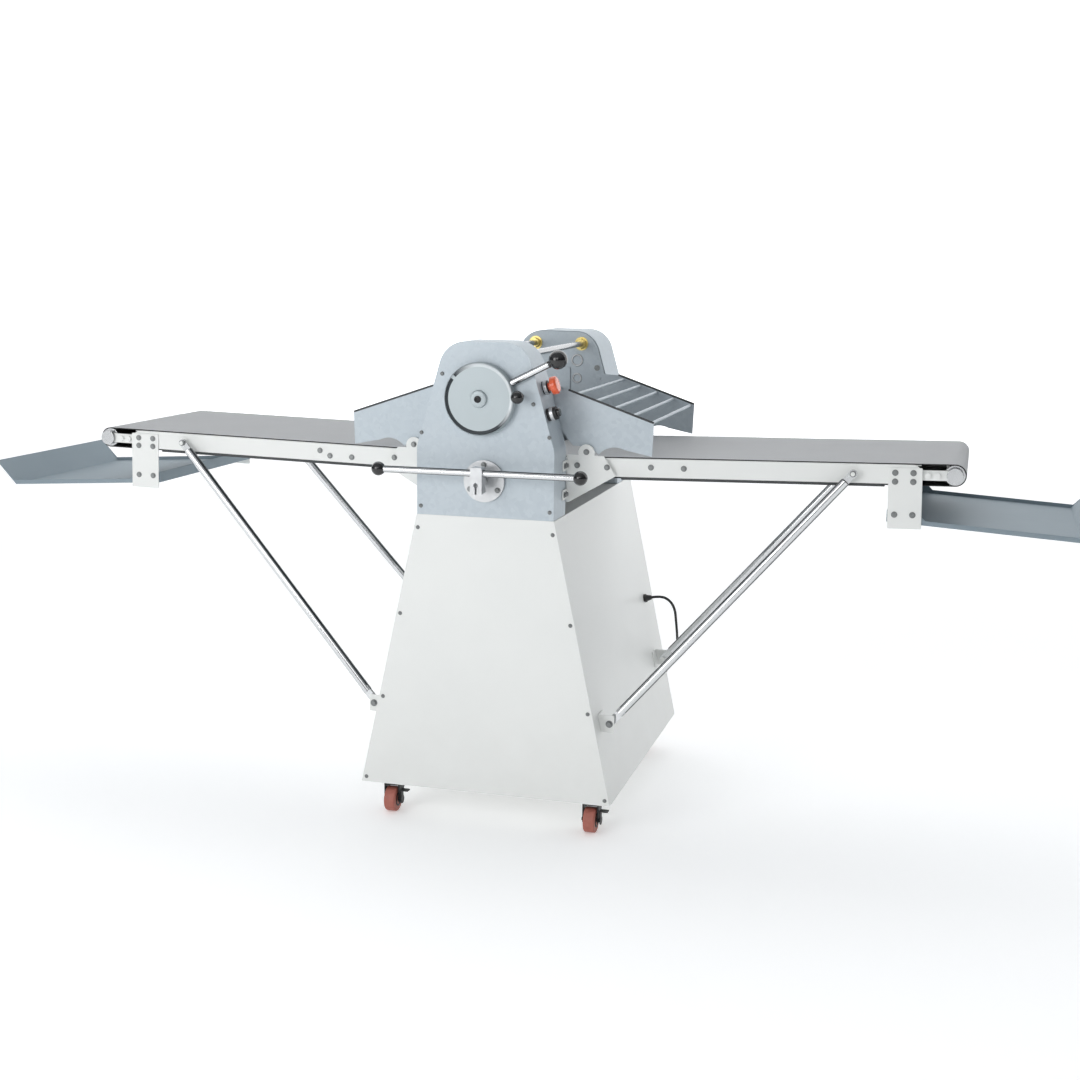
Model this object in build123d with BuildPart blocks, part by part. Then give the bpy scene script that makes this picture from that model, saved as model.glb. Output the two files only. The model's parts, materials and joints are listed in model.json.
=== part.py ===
"""Floor-standing reversible dough sheeter: folding belt tables either side of a roller head."""
import os
from math import atan, cos, radians, sin, tan

from build123d import *

os.makedirs("parts", exist_ok=True)

# Driving dimensions, in mm. X runs along the tables, Y to the back, Z up, floor at Z = 0.
belt_width = 520
sheet = 2

base_bottom_z = 94
base_top_z = 805
base_bottom_half = 331
base_top_half = 178
front_y = -404
back_y = 453

plate_in = 284          # inner face of each side plate, either side of the belt centreline
plate_out = 292
head_half = 176
head_shoulder_z = 975
head_top_half = 102
head_top_z = 1235

roller_r = 44
lower_z = 901
gap_rest = 20
gap_lower = -19         # carriage travel that leaves a 1 mm gap
gap_raise = 30
upper_z = lower_z + 2 * roller_r + gap_rest
shaft_r = 15
bearing_r = 26
running = 0.05          # radial clearance of a running fit

motor_z = 300
motor_shaft_r = 9
motor_pulley_r = 30
roller_pulley_r = 60
pulley_y = 385
pulley_t = 24

hinge_x = 80            # drive roller and table hinge
hinge_z = 920
belt_rise = 0.0228      # tables climb outward by this much per mm
drum_r = 24
drum_shaft_r = 8
belt_t = 2
belt_gap = 0.3
table_length = 1033     # drive roller to idler roller
rail_y = 262
rail_t = 12
rail_top = 24
rail_low = -21
rail_end = 955

dial_x = -10
dial_z = 1098
dial_r = 89
dial_t = 22
handle_angle = 27
handle_reach = 219
handle_r = 8
stop_angle = 5
stop_reach = 104
lever_z = 896
lever_y = -461          # lever rod, above and in front of its pivot
lever_rod_z = lever_z + 26
lever_rod_r = 8.5
lever_half = 243
pivot_r = 10            # dial and lever spindles

guard_x = 122           # guard hinge
guard_z = 1106
guard_y = 278
guard_rod_r = 4
guard_pin_in = 3        # how far each pivot pin reaches inside its guard

strut_r = 11
pin_r = 5
strut_top = (879, 941)
strut_foot = (314, 292)
strut_top_y = 291
strut_foot_y = 340
ear_y = 352             # inner face of the strut foot's upright ear

wheel_r = 32.5
wheel_t = 30
front_caster = (268, -320)
rear_caster = (248, 372)
caster_trail = 20
stem_r = 8              # caster stems

slope = atan(belt_rise)
tie_rods_at = ((-67, 1200), (67, 1200))
tie_rod_r = 8
housing_floor = (220, 70)       # openings from the head's housings down into the base
opening_ys = (-348, 372)
lean = atan((base_bottom_half - base_top_half) / (base_top_z - base_bottom_z))
flank = atan((head_half - head_top_half) / (head_top_z - head_shoulder_z))


def save(builder, name):
    """Label a finished piece and write it."""
    builder.part.label = name
    export_step(builder.part, f"parts/{name}.step")


def save_both(builder, name):
    """Write the right-hand piece and its mirror image on the left."""
    save(builder, f"right_{name}")
    with BuildPart() as twin:
        add(mirror(builder.part, about=Plane.YZ))
    save(twin, f"left_{name}")


def side_plane(y):
    """Plane facing the front, with X to the right and Z up."""
    return Plane(origin=(0, y, 0), x_dir=(1, 0, 0), z_dir=(0, -1, 0))


def table_plane(y=0):
    """As side_plane, but along the sloping table, with its origin on the hinge."""
    return Plane(origin=(hinge_x, y, hinge_z), x_dir=(cos(slope), 0, sin(slope)), z_dir=(0, -1, 0))


def base_half(z):
    """Half-width of the tapering base at height z."""
    return base_bottom_half - (z - base_bottom_z) * tan(lean)


def head_outline(shrink=0):
    """Round-shouldered outline shared by the housings and the side plates."""
    half = head_half - shrink
    top = head_top_half - shrink
    bottom = base_top_z + shrink
    with BuildSketch(mode=Mode.PRIVATE) as outline:
        with BuildLine():
            FilletPolyline(
                (-half, bottom), (-half, head_shoulder_z), (-top, head_top_z - shrink),
                (top, head_top_z - shrink), (half, head_shoulder_z), (half, bottom),
                radius=(60, 70 - shrink, 70 - shrink, 60),
            )
            Line((half, bottom), (-half, bottom))
        make_face()
    return outline.sketch


def flank_plane(y, z):
    """Plane lying on the sloping right flank of the front housing."""
    x = head_half - (z - head_shoulder_z) * tan(flank)
    return Plane(origin=(x, y, z), z_dir=(cos(flank), 0, sin(flank)))


estop_at = flank_plane(-355, 1124)
start_at = flank_plane(-377, 1061)

# ---------------------------------------------------------------- base
def base_outline():
    """Tapering outline of the base, as seen from the front."""
    with BuildSketch(mode=Mode.PRIVATE) as outline:
        with BuildLine():
            Polyline(
                (-base_bottom_half, base_bottom_z), (base_bottom_half, base_bottom_z),
                (base_top_half, base_top_z), (-base_top_half, base_top_z), close=True,
            )
        make_face()
    return outline.sketch


with BuildPart() as base_body:
    with BuildSketch(side_plane(back_y - sheet)):
        add(base_outline())
        offset(amount=-3, kind=Kind.INTERSECTION, mode=Mode.SUBTRACT)
    extrude(amount=back_y - front_y - 2 * sheet)
    with BuildSketch(Plane.XY.offset(base_top_z - 10)):
        with Locations(*[(0, y) for y in opening_ys]):
            Rectangle(*housing_floor)
    extrude(amount=20, mode=Mode.SUBTRACT)
    with BuildSketch(Plane.XY.offset(base_bottom_z - 10)):
        with Locations(*[(side * x, y) for side in (-1, 1) for x, y in (front_caster, rear_caster)]):
            Circle(stem_r + running)
    extrude(amount=20, mode=Mode.SUBTRACT)
save(base_body, "base_body")

for name, y in (("base_front_panel", front_y + sheet), ("base_rear_panel", back_y)):
    with BuildPart() as panel:
        with BuildSketch(side_plane(y)):
            add(base_outline())
        extrude(amount=sheet)
    save(panel, name)

# ---------------------------------------------------------------- head structure
with BuildPart() as side_plates:
    for y in (-plate_in, plate_out):
        with BuildSketch(side_plane(y)):
            add(head_outline(shrink=2.2))
            with Locations((0, lower_z)):
                Circle(bearing_r, mode=Mode.SUBTRACT)
            with Locations((-hinge_x, hinge_z), (hinge_x, hinge_z)):
                Circle(drum_shaft_r + running, mode=Mode.SUBTRACT)
            with Locations((0, 1034.5)):
                Rectangle(60.1, 161, mode=Mode.SUBTRACT)
        extrude(amount=plate_out - plate_in)
    for y in (-guard_y + guard_pin_in, plate_in):
        with BuildSketch(side_plane(y)):
            with Locations((-guard_x, guard_z), (guard_x, guard_z)):
                Circle(guard_rod_r)
        extrude(amount=plate_in - guard_y + guard_pin_in)
save(side_plates, "side_plates")

with BuildPart() as tie_rods:
    with BuildSketch(side_plane(plate_in)):
        with Locations(*tie_rods_at):
            Circle(tie_rod_r)
    extrude(amount=2 * plate_in)
save(tie_rods, "tie_rods")

with BuildPart() as front_housing:
    with BuildSketch(side_plane(-plate_out)):
        add(head_outline())
    extrude(amount=-front_y - plate_out)
    with BuildSketch(side_plane(-plate_out)):
        add(head_outline(shrink=sheet))
    extrude(amount=-front_y - plate_out - sheet, mode=Mode.SUBTRACT)
    with BuildSketch(side_plane(front_y + 5)):
        with Locations((dial_x, dial_z), (0, lever_z)):
            Circle(pivot_r + running)
    extrude(amount=10, mode=Mode.SUBTRACT)
    for spot in (estop_at, start_at):
        with BuildSketch(spot.offset(-10)):
            Circle(11)
        extrude(amount=20, mode=Mode.SUBTRACT)
    with Locations((0, opening_ys[0], base_top_z)):
        Box(*housing_floor, 20, mode=Mode.SUBTRACT)
save(front_housing, "front_housing")

with BuildPart() as rear_housing:
    with BuildSketch(side_plane(back_y)):
        add(head_outline())
    extrude(amount=back_y - plate_out)
    with BuildSketch(side_plane(back_y - sheet)):
        add(head_outline(shrink=sheet))
    extrude(amount=back_y - plate_out - sheet, mode=Mode.SUBTRACT)
    with Locations((0, opening_ys[1], base_top_z)):
        Box(*housing_floor, 20, mode=Mode.SUBTRACT)
save(rear_housing, "rear_housing")

with BuildPart() as roller_bearings:
    for y in (-plate_in, plate_out):
        with BuildSketch(side_plane(y)):
            with Locations((0, lower_z)):
                Circle(bearing_r)
                Circle(shaft_r + running, mode=Mode.SUBTRACT)
        extrude(amount=plate_out - plate_in)
save(roller_bearings, "roller_bearings")

with BuildPart() as lower_scraper:
    with BuildSketch(side_plane(plate_in)):
        with Locations((0, 841)):
            Rectangle(20, 16)
    extrude(amount=2 * plate_in)
    with BuildSketch(side_plane(belt_width / 2)):
        with Locations((11, 845.3)):
            Rectangle(2, 24.6)
    extrude(amount=belt_width)
save(lower_scraper, "lower_scraper")

# Triangular wing plates stand outside the rails, eared to the housings, with the table stop pins.
with BuildPart() as wings_right:
    for side in (-1, 1):
        near = side * (plate_in + 1)
        with BuildSketch(Plane(origin=(0, near, 0), x_dir=(1, 0, 0), z_dir=(0, -1, 0))):
            with BuildLine():
                FilletPolyline(
                    (head_half + 0.2, 833), (303, 907), (271, 956), (head_half + 0.2, 956),
                    radius=4, close=True,
                )
            make_face()
            with Locations((227, 962)):
                Circle(21)
        extrude(amount=-3 * side)
        with Locations(*[(head_half + 1.7, side * (plate_in + 22), z) for z in (858, 930)]):
            Box(3, 42, 26)
        with BuildSketch(side_plane(near)):
            with Locations((240, 897.3)):
                Circle(pin_r)
        extrude(amount=20 * side)
with BuildPart() as wing_plates:
    add(wings_right.part)
    mirror(wings_right.part, about=Plane.YZ)
save(wing_plates, "wing_plates")

# Strut feet: a plate on the tapering side with an upright ear that carries the foot pin.
with BuildPart() as feet_right:
    for side in (-1, 1):
        with BuildSketch(side_plane(side * ear_y)):
            with BuildLine():
                FilletPolyline(
                    (base_half(270) + 0.2, 270), (326, 270), (326, 314), (base_half(314) + 0.2, 314),
                    radius=3, close=True,
                )
            make_face()
        extrude(amount=-3 * side)
        skin = Plane(origin=(base_half(292) + 0.2, side * (strut_foot_y - 6), 292),
                     x_dir=(0, 1, 0), z_dir=(cos(lean), 0, sin(lean)))
        with BuildSketch(skin):
            Rectangle(42, 44)
        extrude(amount=3)
        with BuildSketch(side_plane(side * ear_y)):
            with Locations(strut_foot):
                Circle(pin_r)
        extrude(amount=21 * side)
with BuildPart() as strut_brackets:
    add(feet_right.part)
    mirror(feet_right.part, about=Plane.YZ)
save(strut_brackets, "strut_brackets")

# ---------------------------------------------------------------- rollers and carriage
with BuildPart() as lower_roller:
    with BuildSketch(side_plane(belt_width / 2)):
        with Locations((0, lower_z)):
            Circle(roller_r)
    extrude(amount=belt_width)
    with BuildSketch(side_plane(400)):
        with Locations((0, lower_z)):
            Circle(shaft_r)
    extrude(amount=700)
    with BuildSketch(side_plane(pulley_y)):
        with Locations((0, lower_z)):
            Circle(roller_pulley_r)
    extrude(amount=pulley_t)
save(lower_roller, "lower_roller")

with BuildPart() as upper_roller:
    with BuildSketch(side_plane(belt_width / 2)):
        with Locations((0, upper_z)):
            Circle(roller_r)
    extrude(amount=belt_width)
    with BuildSketch(side_plane(302)):
        with Locations((0, upper_z)):
            Circle(shaft_r)
    extrude(amount=604)
save(upper_roller, "upper_roller")

with BuildPart() as roller_carriage:
    for y in (-plate_in + 2, plate_out + 6):
        with BuildSketch(side_plane(y)):
            with Locations((0, upper_z + 20)):
                Rectangle(60, 110)
            with Locations((0, upper_z)):
                Circle(shaft_r + running, mode=Mode.SUBTRACT)
        extrude(amount=16)
    for y in (-plate_in + 4, plate_in - 2):
        with BuildSketch(side_plane(y)):
            with Locations((0, upper_z + 27)):
                RectangleRounded(72, 196, 6)
            with Locations((0, upper_z)):
                Circle(shaft_r + running, mode=Mode.SUBTRACT)
        extrude(amount=sheet)
    with BuildSketch(side_plane(plate_in - 2)):
        with Locations((0, upper_z + 60)):
            Rectangle(20, 16)
    extrude(amount=2 * plate_in - 4)
save(roller_carriage, "roller_carriage")

with BuildPart() as upper_scraper:
    with BuildSketch(side_plane(belt_width / 2)):
        with Locations((11, upper_z + 55.6)):
            Rectangle(2, 24.8)
    extrude(amount=belt_width)
save(upper_scraper, "upper_scraper")

# ---------------------------------------------------------------- gap dial and direction lever
with BuildPart() as gap_dial:
    with BuildSketch(Plane(origin=(dial_x, 0, dial_z), x_dir=(1, 0, 0), z_dir=(0, 0, 1))):
        with BuildLine():
            Polyline(
                (0, -300), (pivot_r, -300), (pivot_r, front_y - 1), (dial_r, front_y - 1),
                (dial_r, front_y - 18), (dial_r - 4, front_y - dial_t), (dial_r - 10, front_y - 20),
                (22, front_y - 20), (20, front_y - 27), (12, front_y - 29), (0, front_y - 29),
                close=True,
            )
        make_face()
    revolve(axis=Axis((dial_x, 0, dial_z), (0, 1, 0)))
save(gap_dial, "gap_dial")

rod_y = front_y - dial_t / 2
handle = Plane(origin=(dial_x, rod_y, dial_z),
               z_dir=(cos(radians(handle_angle)), 0, sin(radians(handle_angle))))
with BuildPart() as gap_handle_rod:
    with BuildSketch(handle.offset(dial_r)):
        Circle(handle_r)
    extrude(amount=handle_reach - dial_r - 20)
save(gap_handle_rod, "gap_handle_rod")

with BuildPart() as gap_handle_knob:
    with Locations(handle.offset(handle_reach)):
        Sphere(23)
    with BuildSketch(handle.offset(handle_reach - 30)):
        Circle(30)
    extrude(amount=10, mode=Mode.SUBTRACT)
save(gap_handle_knob, "gap_handle_knob")

stop_run = Vector(cos(radians(stop_angle)), 0, sin(radians(stop_angle)))
stop_side = Vector(-stop_run.Z, 0, stop_run.X) * 6
centre = Vector(dial_x, 0, dial_z)
stop_ball = centre + stop_run * stop_reach
stop_edges = (centre - stop_side, stop_ball - stop_side, stop_ball + stop_side, centre + stop_side)
stop_y = front_y - dial_t - 20
with BuildPart() as gap_stop_knob:
    with BuildSketch(side_plane(front_y)):
        with BuildLine():
            Polyline(*[(p.X, p.Z) for p in stop_edges], close=True)
        make_face()
        with Locations((dial_x, dial_z)):
            Circle(24)
            Circle(pivot_r + running, mode=Mode.SUBTRACT)
    extrude(amount=0.8)
    with BuildSketch(side_plane(front_y)):
        with Locations((stop_ball.X, stop_ball.Z)):
            Circle(pin_r)
    extrude(amount=front_y - stop_y)
    with Locations((stop_ball.X, stop_y, stop_ball.Z)):
        Sphere(16)
save(gap_stop_knob, "gap_stop_knob")

with BuildPart() as lever_flange:
    with BuildSketch(side_plane(front_y)):
        with Locations((0, lever_z)):
            Circle(52)
            Circle(pivot_r + running, mode=Mode.SUBTRACT)
    extrude(amount=8)
save(lever_flange, "lever_flange")

with BuildPart() as lever_clamp:
    with BuildSketch(side_plane(-444)):
        with Locations((0, lever_z + 8)):
            RectangleRounded(30, 66, 4)
    extrude(amount=32)
    with BuildSketch(side_plane(-360)):
        with Locations((0, lever_z)):
            Circle(pivot_r)
    extrude(amount=86)
    with BuildSketch(Plane(origin=(-40, lever_y, lever_rod_z), z_dir=(1, 0, 0))):
        Circle(lever_rod_r + running)
    extrude(amount=80, mode=Mode.SUBTRACT)
    with BuildSketch(side_plane(-460)):
        with Locations((0, lever_z - 2)):
            Circle(6)
        with Locations((0, lever_z - 14)):
            Rectangle(5, 20)
    extrude(amount=18, mode=Mode.SUBTRACT)
save(lever_clamp, "lever_clamp")

with BuildPart() as lever_rod:
    with BuildSketch(Plane(origin=(-lever_half, lever_y, lever_rod_z), z_dir=(1, 0, 0))):
        Circle(lever_rod_r)
    extrude(amount=2 * lever_half)
save(lever_rod, "lever_rod")

with BuildPart() as lever_knobs:
    for x in (-lever_half - 13, lever_half + 13):
        with Locations((x, lever_y, lever_rod_z)):
            Sphere(17.5, rotation=(0, 90, 0))
    with Locations((0, lever_y, lever_rod_z)):
        Box(2 * lever_half, 40, 40, mode=Mode.SUBTRACT)
save(lever_knobs, "lever_knobs")

# ---------------------------------------------------------------- switches on the right flank
with BuildPart() as switch_collars:
    for spot, reach in ((estop_at, 14), (start_at, 24)):
        with BuildSketch(spot.offset(0.2)):
            Circle(16)
            Circle(10.3, mode=Mode.SUBTRACT)
        extrude(amount=reach)
save(switch_collars, "switch_collars")

with BuildPart() as estop_button:
    with BuildSketch(estop_at.offset(-20)):
        Circle(10)
    extrude(amount=42)
    with BuildSketch(estop_at.offset(22)):
        Circle(22)
    extrude(amount=16)
    fillet(estop_button.faces().sort_by(Axis((0, 0, 0), estop_at.z_dir))[-1].edges(), 6)
save(estop_button, "estop_button")

with BuildPart() as start_button:
    with BuildSketch(start_at.offset(-20)):
        Circle(10)
    extrude(amount=52)
    chamfer(start_button.faces().sort_by(Axis((0, 0, 0), start_at.z_dir))[-1].edges(), 1.5)
save(start_button, "start_button")

# ---------------------------------------------------------------- table, right-hand
span = rail_y + rail_t
with BuildPart() as table_frame:
    for side in (-1, 1):
        outer = table_plane(side * rail_y)
        with BuildSketch(outer):
            with BuildLine():
                FilletPolyline(
                    (-20, rail_low), (rail_end, rail_low), (rail_end, rail_top), (-20, rail_top),
                    radius=(0.5, 0.5, 18, 18), close=True,
                )
            make_face()
            with Locations((0, 0)):
                Circle(drum_shaft_r + running, mode=Mode.SUBTRACT)
        extrude(amount=-side * rail_t)
        with BuildSketch(outer):
            with Locations(((rail_end + table_length + 12) / 2, 0)):
                Rectangle(table_length + 12 - rail_end, 24)
            with Locations((table_length, 0)):
                Circle(drum_shaft_r + running, mode=Mode.SUBTRACT)
        extrude(amount=-side * 6)
        with BuildSketch(table_plane(side * (rail_y + 6))):
            with Locations((rail_end + 16, 0), (rail_end + 38, 0)):
                Circle(7)
        extrude(amount=-side * 8)
        with BuildSketch(side_plane(side * span)):
            with Locations(strut_top):
                Circle(pin_r)
        extrude(amount=-side * 28)
    with BuildSketch(table_plane(rail_y)):
        with Locations((rail_end / 2 + 20, 22.2)):
            Rectangle(rail_end - 40, 1.6)
        with Locations((150, 0), (500, 0), (850, 0)):
            Rectangle(24, 24)
            Rectangle(20, 20, mode=Mode.SUBTRACT)
    extrude(amount=2 * rail_y)
save_both(table_frame, "table_frame")

with BuildPart() as belt:
    with BuildSketch(table_plane(belt_width / 2)):
        with Locations((table_length / 2, 0)):
            SlotCenterToCenter(table_length, 2 * (drum_r + belt_gap + belt_t))
            SlotCenterToCenter(table_length, 2 * (drum_r + belt_gap), mode=Mode.SUBTRACT)
    extrude(amount=belt_width)
save_both(belt, "belt")

with BuildPart() as drive_roller:
    with BuildSketch(table_plane(belt_width / 2)):
        Circle(drum_r)
    extrude(amount=belt_width)
    with BuildSketch(table_plane(plate_out)):
        Circle(drum_shaft_r)
    extrude(amount=2 * plate_out)
save_both(drive_roller, "drive_roller")

with BuildPart() as idler_roller:
    with BuildSketch(table_plane(belt_width / 2)):
        with Locations((table_length, 0)):
            Circle(drum_r)
    extrude(amount=belt_width)
    with BuildSketch(table_plane(rail_y + 7)):
        with Locations((table_length, 0)):
            Circle(drum_shaft_r)
    extrude(amount=2 * rail_y + 14)
    for y in (-rail_y - 7, rail_y + 14):
        with BuildSketch(table_plane(y)):
            with Locations((table_length, 0)):
                Circle(19)
        extrude(amount=7)
save_both(idler_roller, "idler_roller")

with BuildPart() as tray_brackets:
    for side in (-1, 1):
        with BuildSketch(table_plane(side * span)):
            with BuildLine():
                FilletPolyline((880, -128), (959, -128), (959, 18), (880, 18), radius=3, close=True)
            make_face()
        extrude(amount=-side * 3)
save_both(tray_brackets, "tray_brackets")

tray_half = span - 1
with BuildPart() as catch_tray:
    with BuildSketch(side_plane(tray_half)):
        with BuildLine():
            Polyline(
                (962, 856), (962, 830), (1405, 804), (1462, 866), (1464.5, 864.5), (1406, 801.5),
                (960, 828), (960, 856), close=True,
            )
        make_face()
    extrude(amount=2 * tray_half)
    for y in (tray_half, -tray_half + 1.5):
        with BuildSketch(side_plane(y)):
            with BuildLine():
                Polyline(
                    (960, 828), (1406, 801.5), (1464.5, 864.5), (1462, 866), (1411, 813),
                    (1050, 834), (1028, 856), (960, 856), close=True,
                )
            make_face()
        extrude(amount=1.5)
save_both(catch_tray, "catch_tray")

# ---------------------------------------------------------------- guard, right-hand
with BuildPart() as guard:
    for side in (-1, 1):
        with BuildSketch(side_plane(side * guard_y)):
            with BuildLine():
                Polyline((110, 1118), (176, 1115), (394, 1040), (391, 958), (322, 972))
                ThreePointArc((322, 972), (290, 977), (256, 958))
                Polyline((256, 958), (236, 976), (190, 978), (172, 1000), (112, 1094), (110, 1118))
            make_face()
            with Locations((guard_x, guard_z)):
                Circle(guard_rod_r + running, mode=Mode.SUBTRACT)
        extrude(amount=-2 * side)
    with BuildSketch(side_plane(guard_y)):
        with Locations(*[(190 + 48 * i, 1103 - 16.4 * i) for i in range(5)]):
            Circle(guard_rod_r)
    extrude(amount=2 * guard_y)
save_both(guard, "guard")

# ---------------------------------------------------------------- struts, right-hand
strut_top_at = Vector(strut_top[0], 0, strut_top[1])
strut_foot_at = Vector(strut_foot[0], 0, strut_foot[1])
strut_way = (strut_foot_at - strut_top_at).normalized()
strut_across = Vector(-strut_way.Z, 0, strut_way.X)


def strut_outline(start, spots):
    """Corners given as distances along the strut from a point, and across it."""
    found = [start + strut_way * along + strut_across * across for along, across in spots]
    return [(p.X, p.Z) for p in found]


with BuildPart() as struts:
    for side in (-1, 1):
        top = strut_top_at + Vector(0, side * strut_top_y, 0)
        foot = strut_foot_at + Vector(0, side * strut_foot_y, 0)
        run = (foot - top).normalized()
        with BuildSketch(Plane(origin=top + run * 26, z_dir=run)):
            Circle(strut_r)
            Circle(strut_r - 1.5, mode=Mode.SUBTRACT)
        extrude(amount=(foot - top).length - 60)
        with BuildSketch(side_plane(side * (strut_top_y - 3))):
            with Locations(strut_top):
                Circle(10)
            with BuildLine():
                Polyline(*strut_outline(strut_top_at, ((0, 9), (34, 9), (34, -9), (0, -9))), close=True)
            make_face()
            with Locations(strut_top):
                Circle(pin_r + running, mode=Mode.SUBTRACT)
        extrude(amount=-6 * side)
        with BuildSketch(side_plane(side * (strut_foot_y - 4))):
            with BuildLine():
                Polyline(*strut_outline(strut_foot_at, (
                    (-48, 10), (8, 10), (8, 5.6), (-5.8, 5.6), (-5.8, -5.6), (8, -5.6), (8, -10), (-48, -10),
                )), close=True)
            make_face()
        extrude(amount=-8 * side)
save_both(struts, "struts")

# ---------------------------------------------------------------- casters
for side, end in ((-1, "left"), (1, "right")):
    for (out, y), place in ((front_caster, "front"), (rear_caster, "rear")):
        x = side * out
        wheel_y = y - caster_trail
        with BuildPart() as fork:
            with BuildSketch(Plane.XY.offset(72)):
                with Locations((x, y - 6)):
                    RectangleRounded(44, 52, 8)
            extrude(amount=4)
            with BuildSketch(Plane.XY.offset(76)):
                with Locations((x, y)):
                    Circle(19)
            extrude(amount=17)
            with BuildSketch(Plane.XY.offset(93)):
                with Locations((x, y)):
                    Circle(stem_r)
            extrude(amount=14)
            for ear_x in (x - 21, x + 18):
                with BuildSketch(Plane(origin=(ear_x, 0, 0), x_dir=(0, 1, 0), z_dir=(1, 0, 0))):
                    with BuildLine():
                        Polyline((y - 30, 74), (y + 18, 74), (wheel_y + 9, 26), (wheel_y - 9, 26),
                                 close=True)
                    make_face()
                extrude(amount=3)
            with BuildSketch(Plane(origin=(x - 24, wheel_y, wheel_r), z_dir=(1, 0, 0))):
                Circle(pin_r)
            extrude(amount=48)
        save(fork, f"{place}_{end}_caster_fork")

        with BuildPart() as wheel:
            with BuildSketch(Plane(origin=(x - wheel_t / 2, wheel_y, wheel_r), z_dir=(1, 0, 0))):
                Circle(wheel_r)
                Circle(pin_r + running, mode=Mode.SUBTRACT)
            extrude(amount=wheel_t)
            fillet(wheel.edges().filter_by(GeomType.CIRCLE).group_by(SortBy.RADIUS)[-1], 4)
        save(wheel, f"{place}_{end}_caster_wheel")

        if place == "front":
            with BuildPart() as pedal:
                with BuildSketch(Plane(origin=(x + 24.2, 0, 0), x_dir=(0, 1, 0), z_dir=(1, 0, 0))):
                    with Locations((wheel_y, wheel_r)):
                        Circle(11)
                    with BuildLine():
                        Polyline((wheel_y - 7, wheel_r), (wheel_y + 7, wheel_r),
                                 (wheel_y + 4, 62), (wheel_y - 14, 62), close=True)
                    make_face()
                extrude(amount=3)
                with Locations((x + 35, wheel_y - 5, 60)):
                    Box(22, 18, 3)
            save(pedal, f"front_{end}_brake_pedal")

# ---------------------------------------------------------------- drive inside the base
mount_z = base_bottom_z + 3
with BuildPart() as drive_motor:
    with BuildSketch(side_plane(340)):
        with Locations((0, motor_z)):
            Circle(70)
    extrude(amount=220)
    with BuildSketch(side_plane(360)):
        with Locations((0, motor_z)):
            Circle(20)
            Circle(motor_shaft_r + running, mode=Mode.SUBTRACT)
    extrude(amount=20)
    with BuildSketch(side_plane(340)):
        with Locations((0, motor_z)):
            Circle(motor_shaft_r + running)
    extrude(amount=60, mode=Mode.SUBTRACT)
    with Locations((0, 230, (motor_z - 60 + mount_z) / 2)):
        Box(120, 180, motor_z - 60 - mount_z)
save(drive_motor, "drive_motor")

with BuildPart() as motor_pulley:
    with BuildSketch(side_plane(pulley_y)):
        with Locations((0, motor_z)):
            Circle(motor_pulley_r)
    extrude(amount=pulley_t)
    with BuildSketch(side_plane(pulley_y)):
        with Locations((0, motor_z)):
            Circle(motor_shaft_r)
    extrude(amount=95)
save(motor_pulley, "motor_pulley")

grip = (roller_pulley_r - motor_pulley_r) / (lower_z - motor_z)
grip_across = (1 - grip ** 2) ** 0.5


def belt_outline(clear):
    """Loop round both pulleys, this far off them."""
    big = roller_pulley_r + clear
    small = motor_pulley_r + clear
    big_side = (big * grip_across, lower_z + big * grip)
    small_side = (small * grip_across, motor_z + small * grip)
    with BuildSketch(mode=Mode.PRIVATE) as loop:
        with BuildLine():
            Line(big_side, small_side)
            ThreePointArc(small_side, (0, motor_z - small), (-small_side[0], small_side[1]))
            Line((-small_side[0], small_side[1]), (-big_side[0], big_side[1]))
            ThreePointArc((-big_side[0], big_side[1]), (0, lower_z + big), big_side)
        make_face()
    return loop.sketch


with BuildPart() as drive_belt:
    with BuildSketch(side_plane(380)):
        add(belt_outline(5.4))
        add(belt_outline(0.4), mode=Mode.SUBTRACT)
    extrude(amount=14)
save(drive_belt, "drive_belt")

# ---------------------------------------------------------------- fasteners of the base and head
panel_screws = [(side * (base_half(z) - 11), z) for side in (-1, 1) for z in (108, 327, 548, 771)]
cover_screws = [(-166, 826), (166, 826), (-164, 1009), (163, 1009), (-110, 1155), (122, 1088)]
flange_bolts = [(41 * cos(a), lever_z + 41 * sin(a)) for a in [radians(d) for d in (90, 210, 330)]]
wing_bolts = [(side * x, z) for side in (-1, 1) for x, z in ((204, 930), (280, 928), (227, 964))]
with BuildPart() as fasteners:
    for y, spots in ((front_y, panel_screws + cover_screws), (back_y + 3, panel_screws + cover_screws)):
        with BuildSketch(side_plane(y)):
            with Locations(*spots):
                Circle(5)
        extrude(amount=3)
    with BuildSketch(side_plane(front_y - 8)):
        with Locations(*flange_bolts):
            Circle(5.5)
    extrude(amount=5)
    for y in (-plate_in - 4, plate_in + 9):
        with BuildSketch(side_plane(y)):
            with Locations(*wing_bolts):
                RegularPolygon(7, 6)
        extrude(amount=5)
    for y in (-plate_in + 16, plate_in):
        with BuildSketch(side_plane(y)):
            with Locations(*tie_rods_at):
                RegularPolygon(13, 6)
                Circle(tie_rod_r, mode=Mode.SUBTRACT)
        extrude(amount=16)
save(fasteners, "fasteners")

# ---------------------------------------------------------------- mains cord
cord_d = 7.5
gland_at = Plane(origin=(base_half(465) + 0.1, 345, 465), z_dir=(cos(lean), 0, sin(lean)))
gland_long = 22
with BuildPart() as cord_gland:
    with BuildSketch(gland_at):
        RegularPolygon(12, 6)
    extrude(amount=8)
    with BuildSketch(gland_at.offset(8)):
        Circle(9.5)
    with BuildSketch(gland_at.offset(gland_long)):
        Circle(6)
    loft()
save(cord_gland, "cord_gland")

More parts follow.
